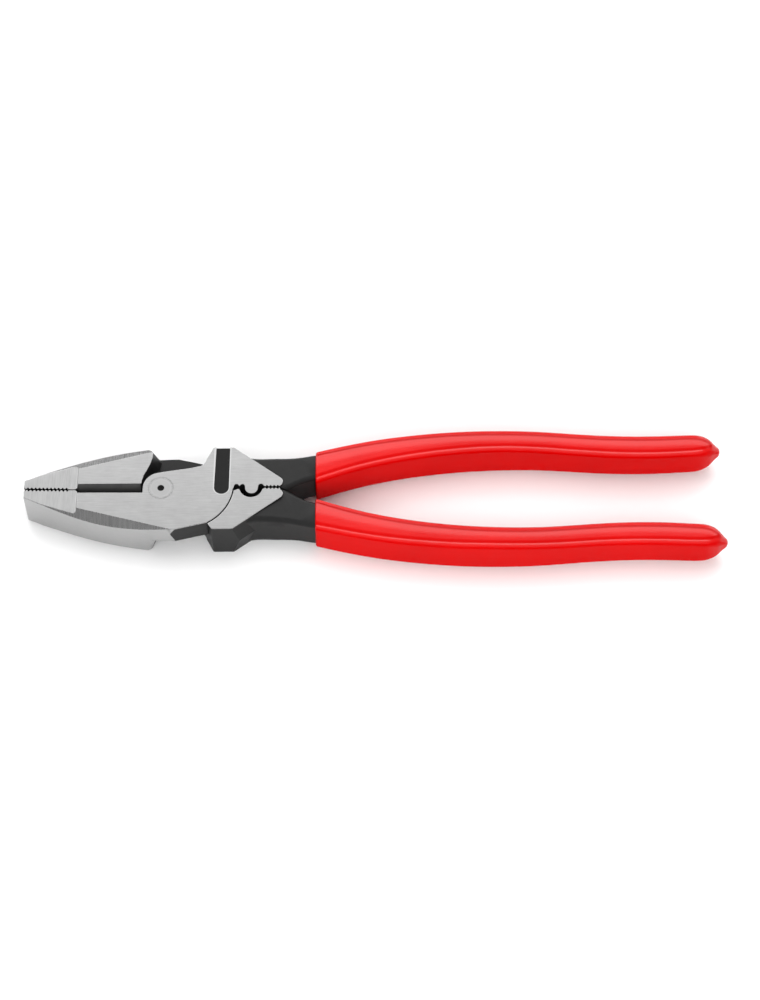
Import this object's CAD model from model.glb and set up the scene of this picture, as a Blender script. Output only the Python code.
import bpy, bmesh, math
from mathutils import Vector, Matrix


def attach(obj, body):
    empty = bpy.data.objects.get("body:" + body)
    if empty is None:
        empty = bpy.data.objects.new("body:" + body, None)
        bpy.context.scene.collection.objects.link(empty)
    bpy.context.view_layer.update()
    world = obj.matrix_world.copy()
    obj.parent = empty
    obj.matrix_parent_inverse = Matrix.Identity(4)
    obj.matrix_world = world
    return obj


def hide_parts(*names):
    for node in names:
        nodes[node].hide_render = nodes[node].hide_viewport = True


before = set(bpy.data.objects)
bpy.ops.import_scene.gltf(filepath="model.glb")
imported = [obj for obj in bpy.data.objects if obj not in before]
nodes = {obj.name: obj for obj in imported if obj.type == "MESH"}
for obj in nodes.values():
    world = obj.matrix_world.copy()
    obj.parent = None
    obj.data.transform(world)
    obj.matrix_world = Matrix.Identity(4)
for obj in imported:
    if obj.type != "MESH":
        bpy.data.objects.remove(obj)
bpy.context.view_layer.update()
scene = bpy.context.scene

H = 0.008            # half the head's thickness; the flat faces are z = 0 and z = 2H

# ------------------------------------------------------------------ node helpers
class Mat:
    """Small helper to write a procedural material."""

    def __init__(self, name):
        self.m = bpy.data.materials.new(name)
        self.m.use_nodes = True
        self.t = self.m.node_tree
        self.t.nodes.clear()
        self.out = self.t.nodes.new("ShaderNodeOutputMaterial")
        self.bsdf = self.t.nodes.new("ShaderNodeBsdfPrincipled")
        self.link(self.bsdf.outputs[0], self.out.inputs[0])
        self.co = self.t.nodes.new("ShaderNodeTexCoord").outputs["Object"]

    def link(self, a, b):
        self.t.links.new(a, b)

    def node(self, kind, **kw):
        n = self.t.nodes.new(kind)
        for k, v in kw.items():
            setattr(n, k, v)
        return n

    def put(self, sock, v):
        if hasattr(v, "is_output"):
            self.link(v, sock)
        else:
            sock.default_value = v

    def math(self, op, a, b=0.0, c=0.0, clamp=False):
        n = self.node("ShaderNodeMath", operation=op, use_clamp=clamp)
        for s, v in zip(n.inputs, (a, b, c)):
            self.put(s, v)
        return n.outputs[0]

    def mapping(self, scale=(1, 1, 1), rot=(0, 0, 0), loc=(0, 0, 0), co=None):
        n = self.node("ShaderNodeMapping")
        self.link(co if co is not None else self.co, n.inputs[0])
        n.inputs["Location"].default_value = loc
        n.inputs["Rotation"].default_value = rot
        n.inputs["Scale"].default_value = scale
        return n.outputs[0]

    def noise(self, scale, detail=2.0, rough=0.5, co=None, out=0, dist=0.0):
        n = self.node("ShaderNodeTexNoise")
        self.link(co if co is not None else self.co, n.inputs["Vector"])
        n.inputs["Scale"].default_value = scale
        n.inputs["Detail"].default_value = detail
        n.inputs["Roughness"].default_value = rough
        n.inputs["Distortion"].default_value = dist
        return n.outputs[out]

    def ramp(self, fac, stops, interp="LINEAR"):
        n = self.node("ShaderNodeValToRGB")
        n.color_ramp.interpolation = interp
        els = n.color_ramp.elements
        while len(els) < len(stops):
            els.new(0.5)
        for e, (p, c) in zip(els, stops):
            e.position = p
            e.color = c if len(c) == 4 else (*c, 1.0)
        self.link(fac, n.inputs[0])
        return n.outputs[0]

    def remap(self, v, a, b, c, d, smooth=False):
        n = self.node("ShaderNodeMapRange", clamp=True)
        if smooth:
            n.interpolation_type = "SMOOTHSTEP"
        self.put(n.inputs[0], v)
        for i, x in enumerate((a, b, c, d)):
            n.inputs[i + 1].default_value = x
        return n.outputs[0]

    def mix(self, fac, a, b):
        n = self.node("ShaderNodeMix", data_type="RGBA")
        self.put(n.inputs[0], fac)
        for s, v in ((n.inputs[6], a), (n.inputs[7], b)):
            if hasattr(v, "is_output"):
                self.link(v, s)
            else:
                s.default_value = v if len(v) == 4 else (*v, 1.0)
        return n.outputs[2]

    def node_xyz(self, v):
        n = self.node("ShaderNodeCombineXYZ")
        self.link(v, n.inputs[0])
        return n.outputs[0]

    def bump(self, height, strength, distance, normal=None):
        n = self.node("ShaderNodeBump")
        n.inputs["Strength"].default_value = strength
        n.inputs["Distance"].default_value = distance
        self.link(height, n.inputs["Height"])
        if normal is not None:
            self.link(normal, n.inputs["Normal"])
        return n.outputs[0]


def grey(v):
    return (v, v, v, 1.0)


def to_mm(m):
    """Object coordinates in mm from the pivot at half thickness, as separate x, y, z."""
    s = m.node("ShaderNodeSeparateXYZ")
    m.link(m.co, s.inputs[0])
    x = m.math("MULTIPLY", s.outputs[0], 1000.0)
    y = m.math("MULTIPLY", s.outputs[1], 1000.0)
    z = m.math("MULTIPLY_ADD", s.outputs[2], 1000.0, -1000.0 * H)
    return x, y, z


def ground(name, along, level=0.60, rough=0.27, contrast=0.05, line=0.0, pitch=0.42, run=7.0, also=None):
    """Ground steel. Scratches run along one axis; pitch is the width of the broader ones and run their length in mm."""
    m = Mat(name)
    k = [1.0 / pitch, 1.0 / pitch, 1.0 / pitch]
    k[along] = 1.0 / run
    if also is not None:
        k[also] = 1.0 / run
    k = [v * 1000.0 for v in k]
    broad = m.noise(1.0, 2.0, 0.55, m.mapping(k))
    fine = m.noise(1.0, 3.0, 0.65, m.mapping([v * (2.2 if i in (along, also) else 6.5) for i, v in enumerate(k)]))
    tone = m.noise(210.0, 2.0, 0.5)
    s = m.math("ADD", m.math("MULTIPLY", broad, 0.45), m.math("MULTIPLY", fine, 0.55))
    c = m.math("ADD", m.math("MULTIPLY", s, 0.8), m.math("MULTIPLY", tone, 0.2))
    m.link(m.ramp(c, [(0.32, grey(level * (1 - contrast))), (0.68, grey(level * (1 + contrast)))]),
           m.bsdf.inputs["Base Color"])
    m.bsdf.inputs["Metallic"].default_value = 1.0
    m.link(m.remap(s, 0.3, 0.7, rough - 0.04, rough + 0.05), m.bsdf.inputs["Roughness"])
    m.link(m.bump(s, 0.12, 0.000006 + line), m.bsdf.inputs["Normal"])
    return m


def oxide(name, base=0.030, rough=0.42, grain=0.00003, spec=0.5):
    """Black finish on the forging: satin, with a fine grain and soft unevenness."""
    m = Mat(name)
    g = m.noise(3300.0, 3.0, 0.6)
    b = m.noise(420.0, 3.0, 0.5)
    w = m.noise(90.0, 2.0, 0.5)
    t = m.math("ADD", m.math("MULTIPLY", g, 0.35), m.math("ADD", m.math("MULTIPLY", b, 0.35), m.math("MULTIPLY", w, 0.3)))
    m.link(m.ramp(t, [(0.34, (base * 0.78, base * 0.79, base * 0.80)), (0.66, (base * 1.24, base * 1.23, base * 1.22))]),
           m.bsdf.inputs["Base Color"])
    m.bsdf.inputs["Specular IOR Level"].default_value = spec
    m.link(m.remap(t, 0.35, 0.65, rough - 0.05, rough + 0.07), m.bsdf.inputs["Roughness"])
    h = m.math("ADD", m.math("MULTIPLY", g, 0.5), m.math("MULTIPLY", b, 1.4))
    m.link(m.bump(h, 0.4, grain), m.bsdf.inputs["Normal"])
    return m


def dipped(name):
    """Dipped red plastic: glossy, slightly wavy skin."""
    m = Mat(name)
    soft = m.noise(42.0, 2.0, 0.45)
    mid = m.noise(230.0, 2.0, 0.5)
    fine = m.noise(2600.0, 2.0, 0.5)
    deep = m.node("ShaderNodeAttribute", attribute_name="deep").outputs["Fac"]
    gloss = m.node("ShaderNodeAttribute", attribute_name="gloss").outputs["Fac"]
    base = m.ramp(soft, [(0.35, (0.605, 0.0004, 0.0005)), (0.65, (0.655, 0.0007, 0.0008))])
    base = m.mix(m.math("MULTIPLY", deep, 0.42), base, (0.32, 0.0001, 0.0001))
    m.link(base, m.bsdf.inputs["Base Color"])
    m.link(m.remap(m.math("ADD", m.math("MULTIPLY", soft, 0.6), m.math("MULTIPLY", fine, 0.4)), 0.35, 0.65, 0.20, 0.27),
           m.bsdf.inputs["Roughness"])
    m.link(gloss, m.bsdf.inputs["Specular IOR Level"])
    h = m.math("ADD", m.math("MULTIPLY", soft, 1.0), m.math("ADD", m.math("MULTIPLY", mid, 0.16), m.math("MULTIPLY", fine, 0.012)))
    m.link(m.bump(h, 0.35, 0.0004), m.bsdf.inputs["Normal"])
    return m


def badge_rim(m, level):
    """Polished outline round the badge field, drawn from the field's own plan."""
    x, y, z = to_mm(m)
    # the field: straight sides closed by a half round end at (20.64, 0.15)
    dy = m.math("MINIMUM", m.math("ADD", y, -0.15), 0.0)
    mid = m.math("MULTIPLY_ADD", y, 0.012, 20.64)
    dx = m.math("SUBTRACT", x, mid)
    d = m.math("SQRT", m.math("ADD", m.math("MULTIPLY", dx, dx), m.math("MULTIPLY", dy, dy)))
    ring = m.math("MULTIPLY", m.remap(d, 2.45, 2.55, 0.0, 1.0), m.remap(d, 2.80, 2.95, 1.0, 0.0))
    top = m.remap(z, 7.5, 7.8, 0.0, 1.0)
    return m.math("MULTIPLY", ring, top)


def stipple(m, r, r0, r1, r2):
    """Ring of fine pits left by the rivet tool."""
    grain = m.noise(2600.0, 1.0, 0.5)
    ring = m.math("MULTIPLY", m.remap(r, r0, r1, 0.0, 1.0), m.remap(r, r2, r2 + 0.25, 1.0, 0.0))
    return m.math("MULTIPLY", m.remap(grain, 0.50, 0.62, 0.0, 1.0), ring)


def face_steel(name, level, rough, contrast):
    m = ground(name, 0, level, rough, contrast)
    old = m.bsdf.inputs["Base Color"].links[0].from_socket
    x, y, z = to_mm(m)
    r = m.math("SQRT", m.math("ADD", m.math("MULTIPLY", x, x), m.math("MULTIPLY", y, y)))
    blot = m.noise(520.0, 3.0, 0.6)
    old = m.mix(m.remap(blot, 0.40, 0.66, 0.0, 0.10), old, grey(level * 0.72))
    old = m.mix(m.math("MULTIPLY", stipple(m, r, 4.18, 4.2, 4.55), 0.34), old, grey(level * 0.62))
    m.link(m.mix(badge_rim(m, level), old, grey(min(1.0, level * 1.42))), m.bsdf.inputs["Base Color"])
    return m


def rivet_steel(name, level, rough):
    """Turned rivet head: faint rings, a fine dark seam at its rim and a dark punched centre."""
    m = Mat(name)
    x, y, z = to_mm(m)
    r = m.math("SQRT", m.math("ADD", m.math("MULTIPLY", x, x), m.math("MULTIPLY", y, y)))
    turn = m.noise(5.2, 2.0, 0.6, m.node_xyz(r))
    grain = m.noise(1.0, 3.0, 0.6, m.mapping((900.0, 6000.0, 2000.0)))
    s = m.math("ADD", m.math("MULTIPLY", turn, 0.5), m.math("MULTIPLY", grain, 0.5))
    base = m.ramp(s, [(0.32, grey(level * 0.95)), (0.68, grey(level * 1.05))])
    seam = m.remap(r, 4.06, 4.19, 0.0, 0.06)
    base = m.mix(seam, base, grey(level * 0.45))
    ring = m.math("MULTIPLY", m.remap(r, 3.05, 3.25, 0.0, 1.0), m.remap(r, 3.3, 3.5, 1.0, 0.0))
    base = m.mix(m.math("MULTIPLY", ring, 0.12), base, grey(level * 1.6))
    hole = m.remap(r, 1.12, 1.22, 1.0, 0.0)
    base = m.mix(m.math("MULTIPLY", stipple(m, r, 3.55, 3.75, 4.3), 0.5), base, grey(level * 0.62))
    base = m.mix(hole, base, grey(0.008))
    m.link(base, m.bsdf.inputs["Base Color"])
    m.link(m.remap(hole, 0.0, 1.0, 1.0, 0.0), m.bsdf.inputs["Metallic"])
    m.link(m.remap(hole, 0.0, 1.0, 0.5, 0.08), m.bsdf.inputs["Specular IOR Level"])
    m.link(m.remap(s, 0.3, 0.7, rough - 0.03, rough + 0.05), m.bsdf.inputs["Roughness"])
    m.link(m.bump(s, 0.3, 0.000008), m.bsdf.inputs["Normal"])
    return m


M_FACE = face_steel("ground_face", 0.292, 0.32, 0.15).m
M_PAD = ground("ground_pad", 1, 0.292, 0.31, 0.21, 0.00004, 0.38, 9.0).m
M_WALL = ground("ground_side", 0, 0.44, 0.33, 0.08).m
M_LENS = ground("ground_bevel", 1, 0.27, 0.27, 0.30, 0.00003, 0.34, 9.0, 2).m
M_EDGE = ground("worn_edge", 0, 0.42, 0.27, 0.04).m
M_RIM = ground("polished_rim", 0, 0.46, 0.28, 0.04).m
M_TEETH = ground("cut_teeth", 2, 0.10, 0.38, 0.12).m
M_KNIFE = oxide("knife_flank", 0.075, 0.36, 0.00002, 0.8).m
M_BLACK = oxide("black_oxide", 0.0115, 0.40, 0.00003, 0.20).m
M_FORGED = oxide("black_forging", 0.0120, 0.43, 0.00005, 0.20).m
M_BADGE = oxide("black_badge_field", 0.0085, 0.42, 0.00001, 0.12).m
M_RIVET = rivet_steel("rivet_head", 0.288, 0.32).m
M_RED = dipped("red_dipped_plastic").m
STEEL = [M_FACE, M_PAD, M_WALL, M_LENS, M_EDGE, M_TEETH, M_BLACK, M_FORGED, M_BADGE, M_KNIFE, M_RIM]

# ------------------------------------------------------------------ meshes
# Slots of the steel pieces. The first ones are ground bright, the last ones keep the forging's black finish.
FACE, PAD, WALL, LENS, EDGE, TEETH, BLACK, FORGED, BADGE, KNIFE, RIM = range(11)
GROUND = {FACE, PAD, WALL, LENS, EDGE, TEETH}


def corner_normals(node):
    """The exact surface normals at each corner of a CAD node, by place."""
    me = nodes[node].data
    found = {}
    cn = me.corner_normals
    for i, lp in enumerate(me.loops):
        co = me.vertices[lp.vertex_index].co
        key = (round(co.x * 2e6), round(co.y * 2e6), round(co.z * 2e6))
        found.setdefault(key, []).append(Vector(cn[i].vector))
    return found


def welded(node, angle=0.3):
    """A copy of a CAD node's shape with shared corners and one face for each flat area."""
    bm = bmesh.new()
    bm.from_mesh(nodes[node].data)
    bmesh.ops.remove_doubles(bm, verts=bm.verts, dist=2e-7)
    bmesh.ops.dissolve_limit(bm, angle_limit=math.radians(angle), verts=bm.verts, edges=bm.edges)
    bm.normal_update()
    return bm


def local(co, turned):
    """A point in mm from the pivot at half thickness, seen in the lower jaw's own lever."""
    x, y, z = co.x * 1e3, co.y * 1e3, (co.z - H) * 1e3
    return (x, -y, -z) if turned else (x, y, z)


KNIFE_Y = 2.2


def web_field(bm, turned):
    """The web keeps a pointed field of the black finish; the rest of that side is ground."""
    sg = -1 if turned else 1
    for (x0, z0), (x1, z1) in (((5.25, 8.0), (3.55, 4.9)), ((3.55, 4.2), (5.15, 0.0)), ((3.55, 9.0), (3.55, -1.0))):
        faces = [f for f in bm.faces if f.material_index == WALL and local(f.calc_center_median(), turned)[0] > -3
                 and abs(f.normal.z) < 0.3]
        geom = set(faces)
        for f in faces:
            geom.update(f.edges)
            geom.update(f.verts)
        no = Vector((z1 - z0, 0, -(x1 - x0) * sg)).normalized()
        bmesh.ops.bisect_plane(bm, geom=list(geom), dist=2e-6, plane_co=(x0 / 1e3, 0, sg * z0 / 1e3 + H), plane_no=no)
    bm.normal_update()
    for f in bm.faces:
        if f.material_index != WALL or abs(f.normal.z) > 0.3:
            continue
        x, y, z = local(f.calc_center_median(), turned)
        if x < 3.5 or z < -0.02:
            continue
        left = 3.55 + max(0.0, (z - 4.9) / 3.1 * 1.7, (4.2 - z) / 4.2 * 1.6)
        if x > left:
            f.material_index = BLACK


def lever_zone(f, turned):
    c = f.calc_center_median()
    x, y, z = local(c, turned)
    n = f.normal
    nx, ny, nz = (n.x, -n.y, -n.z) if turned else (n.x, n.y, n.z)
    pts = [local(v.co, turned) for v in f.verts]
    x0, x1 = min(p[0] for p in pts), max(p[0] for p in pts)
    y0, y1 = min(p[1] for p in pts), max(p[1] for p in pts)
    z0, z1 = min(p[2] for p in pts), max(p[2] for p in pts)
    a = abs(z)
    if x1 < -28.2:                                   # gripping end
        if abs(nz) > 0.7 and a > 6.9:
            return LENS if abs(ny) > 0.3 else PAD
        if y1 > -0.85 and x < -30.0 or y0 > -0.9 and abs(nz) < 0.5:
            return TEETH
        if nx < -0.9:
            return WALL
        if abs(nz) > 0.4 and abs(ny) > 0.3:
            return LENS
        return WALL if ny < -0.3 else PAD
    if 0.75 < abs(nz) < 0.95 and ny < -0.35 and a > 5.5 and x < 5:
        return LENS
    if abs(nz) > 0.99 and a > 7.9:
        return FACE
    if abs(nz) > 0.99 and 7.7 < a < 7.8:
        return BADGE
    if abs(nz) > 0.99 and a < 0.1 and x < 30:        # lap faces
        return BLACK
    if x1 < 5.2 and ny < -0.3 and nx < 0.6 and y < -3.5:          # outer side of the jaw
        return WALL
    if -0.1 < z0 and x1 < 16.3 and ny < -0.3 and y < -12:
        return WALL
    if x1 < -6 and abs(nz) < 0.3 and y1 <= 0.05 and y0 > -2.0 and x < -28:
        return TEETH
    if -28.45 < x < -6 and y > -KNIFE_Y and abs(ny) > 0.5:
        return KNIFE
    if x > 25 or (x > 15 and y > 11.3 and a < 7.7):
        return FORGED
    return BLACK


def clean_walls(bm, turned):
    """The jaw's outer side is upright everywhere: give it upright strips from edge to edge."""
    wall = [f for f in bm.faces if f.material_index == WALL and abs(f.normal.z) < 0.1 and f.normal.x > -0.9]
    inner = {e for f in wall for e in f.edges if all(g in wall for g in e.link_faces) and len(e.link_faces) == 2
             and not (abs((e.verts[0].co.x + e.verts[1].co.x) / 2 - 0.0051) < 0.0002 and
                      abs(e.verts[0].co.x - e.verts[1].co.x) < 1e-5)}
    bmesh.ops.dissolve_edges(bm, edges=list(inner), use_verts=False, use_face_split=False)
    wall = [f for f in bm.faces if f.material_index == WALL and abs(f.normal.z) < 0.1 and f.normal.x > -0.9]
    xs = sorted({round(v.co.x, 6) for f in wall for v in f.verts})
    keep = []
    for x in xs:
        if not keep or x - keep[-1] > 0.0006:
            keep.append(x)
    extra = []
    for a, b in zip(keep, keep[1:]):
        n = int((b - a) / 0.0030)
        extra += [a + (b - a) * (i + 1) / (n + 1) for i in range(n)]
    for x in sorted(keep + extra):
        wall = [f for f in bm.faces if f.material_index == WALL and abs(f.normal.z) < 0.1 and f.normal.x > -0.9]
        geom = set(wall)
        for f in wall:
            geom.update(f.edges)
            geom.update(f.verts)
        bmesh.ops.bisect_plane(bm, geom=list(geom), dist=2e-6, plane_co=(x, 0, 0), plane_no=(1, 0, 0))
    bm.normal_update()


def bevelled(bm, name, weight, width, segments=2):
    """Rounds the marked edges. Returns the object; its bevel faces carry slot -1 + 32."""
    me = bpy.data.meshes.new(name)
    lay = bm.edges.layers.float.get("bevel_weight_edge") or bm.edges.layers.float.new("bevel_weight_edge")
    for e in bm.edges:
        e[lay] = weight(e)
    bm.to_mesh(me)
    bm.free()
    ob = bpy.data.objects.new(name, me)
    scene.collection.objects.link(ob)
    for _ in range(33):
        me.materials.append(None)
    md = ob.modifiers.new("edges", "BEVEL")
    md.limit_method = "WEIGHT"
    md.width = width
    md.offset_type = "OFFSET"
    md.segments = segments
    md.profile = 0.5
    md.use_clamp_overlap = False
    md.miter_outer = "MITER_SHARP"
    md.loop_slide = False
    md.material = 32
    dg = bpy.context.evaluated_depsgraph_get()
    out = bpy.data.meshes.new_from_object(ob.evaluated_get(dg))
    ob.modifiers.clear()
    ob.data = out
    out.name = name
    bpy.data.meshes.remove(me)
    return ob


def finish_edges(ob, exact):
    """Gives the rounded edges a slot from the faces beside them, and sets which edges stay crisp."""
    bm = bmesh.new()
    bm.from_mesh(ob.data)
    bm.verts.index_update()
    new = {f for f in bm.faces if f.material_index == 32}
    beside = {}
    for f in new:
        s = set()
        seen = {f}
        front = [f]
        for _ in range(3):
            nxt = []
            for g in front:
                for e in g.edges:
                    for h in e.link_faces:
                        if h in seen:
                            continue
                        seen.add(h)
                        if h in new:
                            nxt.append(h)
                        else:
                            s.add(h.material_index)
            front = nxt
        beside[f] = s
    for f in new:
        s = beside[f]
        c = f.calc_center_median()
        if LENS in s and s <= {LENS, FACE, PAD, BADGE}:
            f.material_index = LENS
        elif math.hypot(c.x, c.y) < 0.0052:
            f.material_index = FACE
        elif BADGE in s or (FACE in s and KNIFE in s):
            f.material_index = RIM
        elif s & GROUND:
            f.material_index = EDGE
        elif FORGED in s:
            f.material_index = FORGED
        else:
            f.material_index = BLACK
    set_normals(bm, ob, new, exact)


def set_normals(bm, ob, round_faces, exact, crease=14.0):
    """Flat areas stay truly flat up to their rounded edges, curved areas are smooth."""
    lim = math.radians(crease)
    for f in bm.faces:
        f.smooth = True
    for e in bm.edges:
        if len(e.link_faces) == 2:
            soft = any(f in round_faces for f in e.link_faces)
            e.smooth = soft or e.calc_face_angle() < lim
    flat = set()
    for f in bm.faces:
        if f in round_faces or f.calc_area() < 1.5e-6:
            continue
        if f.material_index in (FACE, LENS, BADGE) or (f.material_index == PAD and abs(f.normal.z) > 0.9):
            flat.add(f)
            continue
        if all((not e.smooth) or all(g is f or g in round_faces or g.normal.dot(f.normal) > 0.99998
                                     for g in e.link_faces) for e in f.edges):
            flat.add(f)
    bm.faces.index_update()
    normal = {}
    for v in bm.verts:
        left = set(v.link_faces)
        while left:
            fan = {left.pop()}
            front = list(fan)
            while front:
                f = front.pop()
                for e in f.edges:
                    if v in e.verts and e.smooth:
                        for g in e.link_faces:
                            if g in left:
                                left.discard(g)
                                fan.add(g)
                                front.append(g)
            major = [f for f in fan if f in flat]
            plain = [f for f in fan if f not in round_faces]
            co = v.co
            near = exact.get((round(co.x * 2e6), round(co.y * 2e6), round(co.z * 2e6)))
            n = Vector((0, 0, 0))
            for f in (plain or fan):
                for lp in f.loops:
                    if lp.vert is v:
                        n += f.normal * lp.calc_angle()
            n.normalize()
            if near and plain:
                best = max(near, key=lambda m: m.dot(n))
                if best.dot(n) > 0.9:
                    n = best
            for f in fan:
                pick = [g for g in major if f in round_faces or g.normal.dot(f.normal) > 0.93]
                if f in round_faces and pick:
                    pick = [max(pick, key=lambda g: g.normal.dot(f.normal))]
                if pick:
                    normal[(f.index, v.index)] = max(pick, key=lambda g: g.calc_area()).normal.copy()
                elif major:
                    own = f.normal.copy()
                    if near:
                        best = max(near, key=lambda m: m.dot(own))
                        own = best if best.dot(own) > 0.9 else own
                    normal[(f.index, v.index)] = own
                else:
                    normal[(f.index, v.index)] = n
    bm.to_mesh(ob.data)
    bm.free()
    me = ob.data
    out = [None] * len(me.loops)
    for p in me.polygons:
        for li in p.loop_indices:
            out[li] = normal[(p.index, me.loops[li].vertex_index)]
    me.normals_split_custom_set(out)


def build_lever(node, body, mats, turned):
    bm = welded(node)
    for f in bm.faces:
        f.material_index = lever_zone(f, turned)
    clean_walls(bm, turned)
    web_field(bm, turned)

    def weight(e):
        if len(e.link_faces) != 2 or not e.is_convex:
            return 0.0
        ang = math.degrees(e.calc_face_angle())
        if ang < 22:
            return 0.0
        a, b = local(e.verts[0].co, turned), local(e.verts[1].co, turned)
        x, y, z = [(p + q) / 2 for p, q in zip(a, b)]
        if x > 52:
            return 0.0
        if x < -28.2 and y > -1.0:
            return 0.0
        if abs(z) < 0.9 and -3.4 < x < -0.5 and y < -13.5:
            return 0.0
        if -29 < x < -6 and y > -0.3:
            return 0.0
        if 24.75 < x < 40.9 and y < 3.95 and not (x > 40.6 and y > 3.5):
            return 0.0
        if x * x + y * y < 5.2 ** 2:
            w = 0.05
        elif abs(z) < 0.2:
            w = 0.10
        elif {f.material_index for f in e.link_faces} & GROUND:
            w = 0.18
        elif min(f.calc_area() for f in e.link_faces) > 3e-6 and x < 24.6:
            w = 0.30
        else:
            return 0.0
        if LENS in {f.material_index for f in e.link_faces}:
            w = 0.12 * max(0.0, min(1.0, (x + 41.5) / 8.5))
        corner = (23.9 < x < 25.3 and y > 15.5) or (5.0 < x < 5.4 and y < -16.2) or (x > 40.6 and y > 3.5)
        if not corner:
            ln = e.calc_length()
            room = min(f.calc_area() / ln for f in e.link_faces) * 1e3
            w = min(w, room / 3.0)
        return w / 0.4 if w > 0.02 else 0.0

    ob = bevelled(bm, node + "_finished", weight, 0.0004)
    finish_edges(ob, corner_normals(node))
    while len(ob.data.materials) > len(mats):
        ob.data.materials.pop(index=len(ob.data.materials) - 1)
    for i, m in enumerate(mats):
        ob.data.materials[i] = m
    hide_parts(node)
    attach(ob, body)
    return ob

# ------------------------------------------------------------------ the dipped grips
# centre line of the handle and half width of the sleeve, in mm from the pivot
LINE = [(44.0, 6.45, 6.60), (49.0, 8.17, 6.38), (54.9, 9.99, 6.10), (61.2, 11.84, 5.78),
        (67.5, 13.51, 5.50), (73.7, 14.91, 5.28), (80.0, 16.09, 5.08), (86.3, 17.06, 4.90),
        (92.7, 17.86, 4.75), (99.0, 18.48, 4.62), (105.3, 18.92, 4.50), (111.6, 19.19, 4.38),
        (117.9, 19.30, 4.27), (124.2, 19.26, 4.17), (130.5, 19.03, 4.08), (136.7, 18.63, 4.02),
        (143.0, 18.14, 3.98), (149.3, 17.69, 3.97), (155.6, 17.36, 3.97), (161.9, 17.20, 3.96),
        (168.2, 17.22, 3.94), (174.5, 17.40, 3.89), (180.8, 17.70, 3.80)]
CAP = [(182.0, 1.0, 1.0, 0.0), (184.0, 0.995, 0.996, 0.39), (185.8, 0.962, 0.968, 0.43), (187.3, 0.895, 0.921, 0.51),
       (188.7, 0.793, 0.844, 0.64), (189.9, 0.662, 0.724, 0.78), (190.8, 0.500, 0.590, 0.88),
       (191.6, 0.379, 0.446, 0.92), (192.3, 0.282, 0.331, 0.92), (192.9, 0.185, 0.212, 0.92),
       (193.2, 0.05, 0.045, 0.92)]
RIM_X, SLEEVE_B, SLEEVE_R, CROWN = 52.7, 7.7, 1.6, 12.0


def spline(xs, ys):
    """Natural cubic spline through points."""
    n = len(xs)
    h = [xs[i + 1] - xs[i] for i in range(n - 1)]
    al = [0.0] * n
    for i in range(1, n - 1):
        al[i] = 3 * ((ys[i + 1] - ys[i]) / h[i] - (ys[i] - ys[i - 1]) / h[i - 1])
    lo, mu, z = [1.0] * n, [0.0] * n, [0.0] * n
    for i in range(1, n - 1):
        lo[i] = 2 * (xs[i + 1] - xs[i - 1]) - h[i - 1] * mu[i - 1]
        mu[i] = h[i] / lo[i]
        z[i] = (al[i] - h[i - 1] * z[i - 1]) / lo[i]
    c, b, d = [0.0] * n, [0.0] * n, [0.0] * n
    for i in range(n - 2, -1, -1):
        c[i] = z[i] - mu[i] * c[i + 1]
        b[i] = (ys[i + 1] - ys[i]) / h[i] - h[i] * (c[i + 1] + 2 * c[i]) / 3
        d[i] = (c[i + 1] - c[i]) / (3 * h[i])

    def f(x, slope=False):
        i = max(0, min(n - 2, next((k for k in range(n - 1) if x < xs[k + 1]), n - 2)))
        t = x - xs[i]
        if slope:
            return b[i] + 2 * c[i] * t + 3 * d[i] * t * t
        return ys[i] + b[i] * t + c[i] * t * t + d[i] * t ** 3
    return f


def gentle(xs, ys):
    """Curve through points that never overshoots them."""
    n = len(xs)
    dx = [xs[i + 1] - xs[i] for i in range(n - 1)]
    sl = [(ys[i + 1] - ys[i]) / dx[i] for i in range(n - 1)]
    m = [sl[0]] + [0.0] * (n - 2) + [sl[-1]]
    for i in range(1, n - 1):
        if sl[i - 1] * sl[i] > 0:
            w1, w2 = 2 * dx[i] + dx[i - 1], dx[i] + 2 * dx[i - 1]
            m[i] = (w1 + w2) / (w1 / sl[i - 1] + w2 / sl[i])

    def f(x):
        i = max(0, min(n - 2, next((k for k in range(n - 1) if x < xs[k + 1]), n - 2)))
        t = max(0.0, min(1.0, (x - xs[i]) / dx[i]))
        return ((1 + 2 * t) * (1 - t) ** 2 * ys[i] + t * (1 - t) ** 2 * dx[i] * m[i]
                + t * t * (3 - 2 * t) * ys[i + 1] + t * t * (t - 1) * dx[i] * m[i + 1])
    return f


line_y = spline([p[0] for p in LINE] + [186.5, 193.2], [p[1] for p in LINE] + [17.92, 18.20])
line_w = spline([p[0] for p in LINE], [p[2] for p in LINE])


def taper(x):
    """0 along the front of the handle, 1 at its closed end: the sleeve gets flatter and a little wider."""
    t = max(0.0, min(1.0, (x - 110.0) / 34.0))
    return 0.45 * t * t * (3 - 2 * t) + 0.55 * max(0.0, min(1.0, (x - 110.0) / 72.0))


def half_width(x):
    return line_w(x) + 0.62 * taper(x)


def half_depth(x):
    return SLEEVE_B - 1.03 * taper(x)


A_END = half_width(182.0) * math.cos(math.atan(line_y(182.0, True)))
cap_a = gentle([c[0] for c in CAP], [c[1] for c in CAP])
cap_b = gentle([c[0] for c in CAP], [c[2] for c in CAP])
cap_r = gentle([c[0] for c in CAP], [SLEEVE_R / A_END] + [c[3] for c in CAP[1:]])

# places along a quarter of the section: 0..1 on the crown, 1..2 on the edge rounding, 2..3 down the side
QUARTER = ([i / 12 * 0.62 for i in range(12)] + [0.62 + 0.38 * i / 16 for i in range(16)]
           + [1 + i / 16 for i in range(16)] + [2 + i / 6 for i in range(7)])


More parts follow.
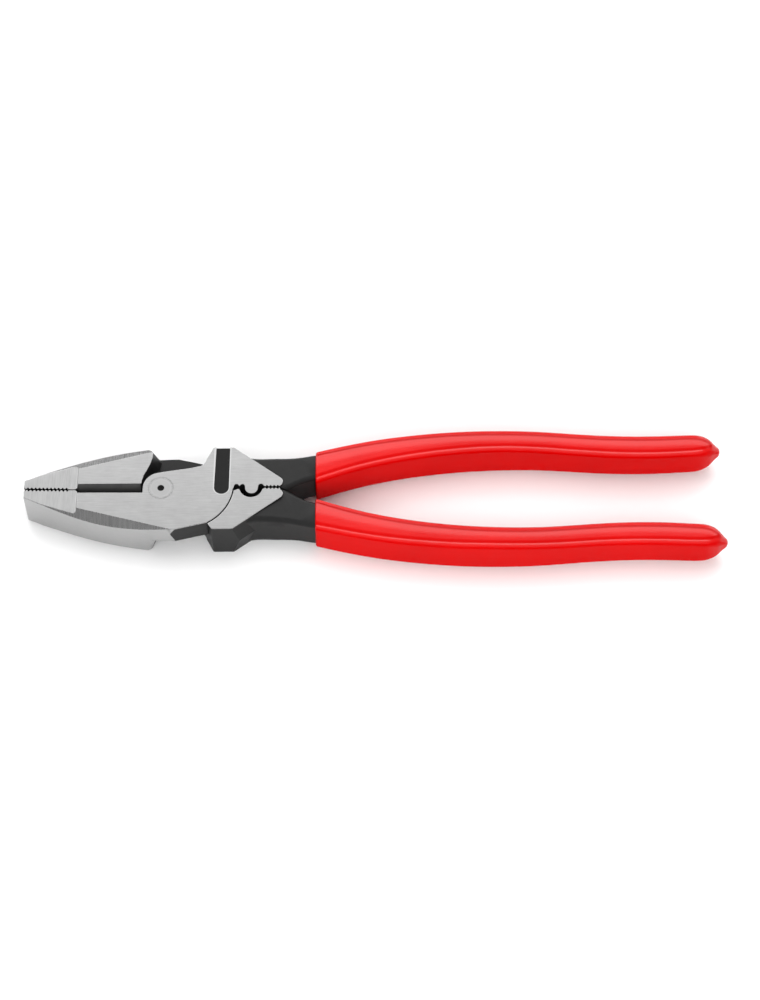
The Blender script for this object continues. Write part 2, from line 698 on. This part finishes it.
def section_point(t, a, b, r, rc, ridge):
    """Point and outward normal in the section's own plane (u across, z up)."""
    rc = max(rc, a * 1.3)
    ch = math.sqrt((rc - r) ** 2 - (a - r) ** 2)
    zc = b - rc + ch
    th0 = math.atan2(ch, a - r)
    if t <= 1:
        th = math.pi / 2 + (th0 - math.pi / 2) * t
        n = (math.cos(th), math.sin(th))
        p = (rc * n[0], b - rc + rc * n[1])
        s = -(1 - t) * (math.pi / 2 - th0) * rc
    elif t <= 2:
        th = th0 * (2 - t)
        n = (math.cos(th), math.sin(th))
        p = (a - r + r * n[0], zc + r * n[1])
        s = (t - 1) * th0 * r
    else:
        n = (1.0, 0.0)
        p = (a, zc * (3 - t))
        s = th0 * r + (t - 2) * zc
    # a thin raised line runs along each edge of the broad faces
    d = ridge * (math.exp(-((s - 0.10) / 0.34) ** 2) - 0.60 * math.exp(-((s + 0.85) / 0.60) ** 2))
    return (p[0] + n[0] * d, p[1] + n[1] * d), n, s


def sleeve_ring(x, inset=0.0, straight=0.0, ridge=0.2):
    """One ring of the skin. straight = 1 keeps the ring in the plane square to X."""
    if x <= 182.0:
        ang = math.atan(line_y(x, True))
        a, b, r, rc = half_width(x) * math.cos(ang), half_depth(x), SLEEVE_R, CROWN
    else:
        fa, fb, fr = cap_a(x), cap_b(x), cap_r(x)
        a, b, r, rc = A_END * fa, half_depth(182.0) * fb, A_END * fa * fr, CROWN * fa * fa
        ridge *= max(0.0, min(1.0, (187.2 - x) / 2.4))
    order = [(1, 1, QUARTER), (1, -1, QUARTER[::-1][1:]), (-1, -1, QUARTER[1:]), (-1, 1, QUARTER[::-1][1:-1])]
    ring = []
    for su, sz, seq in order:
        for t in seq:
            xx = x
            for _ in range(3 if straight > 0 else 1):
                if x <= 182.0:
                    ang = math.atan(line_y(xx, True))
                    a = half_width(xx) * math.cos(ang)
                else:
                    ang = math.atan(line_y(xx, True))
                (u, z), n, s = section_point(t, a, b, r, rc, ridge)
                u, z = u - n[0] * inset, z - n[1] * inset
                if straight > 0:
                    xx = x + straight * math.sin(ang) * u * su
            ring.append((xx - math.sin(ang) * u * su, line_y(xx) + math.cos(ang) * u * su, z * sz, s, su))
    return ring


def smooth(x, a, b):
    t = max(0.0, min(1.0, (x - a) / (b - a)))
    return t * t * (3 - 2 * t)


def build_grip(node, body, turned):
    rings = []
    for x, inset in [(RIM_X + 2.2, 1.55), (RIM_X + 0.02, 1.55)]:
        rings.append(sleeve_ring(x, inset, 1.0, 0.0))
    for k in range(7):
        f = math.pi / 2 * (1 - k / 6)
        rings.append(sleeve_ring(RIM_X + 0.75 * (1 - math.sin(f)), 0.75 * (1 - math.cos(f)), 1.0,
                                 0.2 * (1 - math.sin(f))))
    x = RIM_X + 0.75
    xs = []
    while x < 181.0:
        x += 1.1 if x > RIM_X + 3 else 0.5
        xs.append(x)
    while x < 192.9:
        x += 0.55 if x < 187 else 0.32
        xs.append(min(x, 193.05))
    for x in xs:
        t = max(0.0, min(1.0, (x - RIM_X) / 12.0))
        rings.append(sleeve_ring(x, 0.0, 1 - t * t * (3 - 2 * t)))
    bm = bmesh.new()
    sign = -1 if turned else 1
    rows = []
    for ring in rings:
        rows.append([bm.verts.new((p[0] / 1e3, sign * p[1] / 1e3, sign * p[2] / 1e3 + H)) for p in ring])
    n = len(rows[0])
    for a, b in zip(rows, rows[1:]):
        for i in range(n):
            j = (i + 1) % n
            bm.faces.new((a[i], a[j], b[j], b[i]))
    bm.faces.new(rows[0])
    tip = bm.verts.new((193.2 / 1e3, sign * 18.20 / 1e3, H))
    for i in range(n):
        bm.faces.new((rows[-1][i], rows[-1][(i + 1) % n], tip))
    bmesh.ops.recalc_face_normals(bm, faces=bm.faces)
    for f in bm.faces:
        f.smooth = True
    for e in bm.edges:
        if len(e.link_faces) == 2 and e.calc_face_angle() > math.radians(50):
            e.smooth = False
    me = bpy.data.meshes.new(node + "_dipped")
    bm.to_mesh(me)
    bm.free()
    # the finish belongs to the sleeve: the same on both flanks and on both grips. The crown is glossy,
    # the flanks are satin, and along each edge line the skin is a little deeper in colour.
    deep = me.attributes.new("deep", "FLOAT", "POINT")
    gloss = me.attributes.new("gloss", "FLOAT", "POINT")
    k = 0
    for ring in rings + [[(193.2, 0, 0, 3.0, 1)]]:
        for q in ring:
            x, s = q[0], q[3]
            end = 1.0 - smooth(x, 189.0, 191.2)
            cap = smooth(x, 184.8, 187.0)
            band = end * smooth(s, -2.0, -1.3) * (1 - smooth(s, -0.75, -0.35))
            side = smooth(s, 0.35, 1.1)
            low = 0.036 + (0.060 - 0.036) * smooth(x, 184.5, 188.5)
            level = 0.42
            level += (0.10 - level) * band
            level += (low - level) * side
            if -0.4 < s < 0.5:
                level += 0.06 * (1 - cap)
            deep.data[k].value = 0.6 * band + 0.38 * side * (1 - band)
            gloss.data[k].value = level
            k += 1
    me.materials.append(M_RED)
    ob = bpy.data.objects.new(node + "_dipped", me)
    scene.collection.objects.link(ob)
    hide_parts(node)
    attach(ob, body)
    return ob


build_lever("lower_jaw_lever", "lower_jaw_body", STEEL, False)
build_lever("upper_jaw_lever", "upper_jaw_body", STEEL, True)
nodes["pivot_rivet"].data.materials.clear()
nodes["pivot_rivet"].data.materials.append(M_RIVET)
build_grip("upper_handle_grip", "lower_jaw_body", False)
build_grip("lower_handle_grip", "upper_jaw_body", True)

# ------------------------------------------------------------------ floor, lights, camera
fm = Mat("studio_floor")
fm.bsdf.inputs["Base Color"].default_value = (0.93, 0.93, 0.93, 1)
fm.bsdf.inputs["Roughness"].default_value = 0.35
bpy.ops.mesh.primitive_plane_add(size=4.0, location=(0.07, 0, -0.00002))
floor = bpy.context.object
floor.name = "floor"
floor.data.materials.append(fm.m)

w = bpy.data.worlds.new("studio")
scene.world = w
w.use_nodes = True
bg = w.node_tree.nodes["Background"]
nt = w.node_tree


def toward(azimuth, elevation, lo, hi, gain):
    """A soft patch of the surroundings: gain at its middle, nothing beyond lo."""
    a, e = math.radians(azimuth), math.radians(elevation)
    dot = nt.nodes.new("ShaderNodeVectorMath")
    dot.operation = "DOT_PRODUCT"
    nt.links.new(nt.nodes.new("ShaderNodeTexCoord").outputs["Generated"], dot.inputs[0])
    dot.inputs[1].default_value = (math.sin(a) * math.cos(e), math.cos(a) * math.cos(e), math.sin(e))
    mr = nt.nodes.new("ShaderNodeMapRange")
    mr.interpolation_type = "SMOOTHSTEP"
    nt.links.new(dot.outputs["Value"], mr.inputs[0])
    for k, v in enumerate((lo, hi, 0.0, gain)):
        mr.inputs[k + 1].default_value = v
    return mr.outputs[0]


def plus(p, q):
    n = nt.nodes.new("ShaderNodeMath")
    n.operation = "ADD"
    for k, v in enumerate((p, q)):
        if hasattr(v, "is_output"):
            nt.links.new(v, n.inputs[k])
        else:
            n.inputs[k].default_value = v
    return n.outputs[0]


bg.inputs[0].default_value = (1, 1, 1, 1)
level = plus(plus(toward(180, 62, 0.80, 0.97, 0.40), toward(0, 4, 0.80, 0.97, -0.18)), 0.42)
nt.links.new(level, bg.inputs[1])


def area(name, azimuth, elevation, distance, size, radiance, glossy=True, diffuse=True):
    """A soft light. Azimuth 0 is behind the object (+Y), elevation above the floor; radiance is its own brightness."""
    a, e = math.radians(azimuth), math.radians(elevation)
    d = Vector((math.sin(a) * math.cos(e), math.cos(a) * math.cos(e), math.sin(e)))
    lamp = bpy.data.lights.new(name, "AREA")
    lamp.shape = "RECTANGLE"
    lamp.size, lamp.size_y = size
    lamp.energy = radiance * size[0] * size[1] * math.pi
    o = bpy.data.objects.new(name, lamp)
    scene.collection.objects.link(o)
    o.location = Vector((0.07, 0.0, 0.0)) + d * distance
    o.rotation_euler = (-d).to_track_quat("-Z", "Y").to_euler()
    o.visible_glossy = glossy
    o.visible_diffuse = diffuse
    return o


area("back_softbox", 0, 37, 1.5, (4.4, 1.40), 2.45, True, False)
area("top_fill", 0, 68, 1.6, (1.6, 1.2), 2.75, False)
area("front_fill", 180, 36, 1.6, (2.2, 1.2), 2.75, False)

# camera: the product view, seen from the front and above
AZ, EL, ROLL = -0.01090682455291889, 1.0332349171806432, 0.004913152280340753
DIST, FPX = 0.8325196079660775, 2419.447983448982
TX, TY = 0.07480369354035317, -0.00042654087109855016
b = Vector((math.sin(AZ) * math.cos(EL), -math.cos(AZ) * math.cos(EL), math.sin(EL)))
r = Vector((0, 0, 1)).cross(b).normalized()
u = b.cross(r)
c, s = math.cos(ROLL), math.sin(ROLL)
r, u = c * r + s * u, -s * r + c * u
cd = bpy.data.cameras.new("camera")
cam = bpy.data.objects.new("camera", cd)
scene.collection.objects.link(cam)
cd.sensor_fit = "AUTO"
cd.sensor_width = 36.0
cd.lens = FPX * 36.0 / 1000.0
cd.clip_start = 0.01
loc = Vector((TX, TY, H)) + b * DIST
cam.matrix_world = Matrix(((r.x, u.x, b.x, loc.x), (r.y, u.y, b.y, loc.y), (r.z, u.z, b.z, loc.z), (0, 0, 0, 1)))
scene.camera = cam
scene.view_settings.view_transform = "Standard"
scene.view_settings.look = "None"
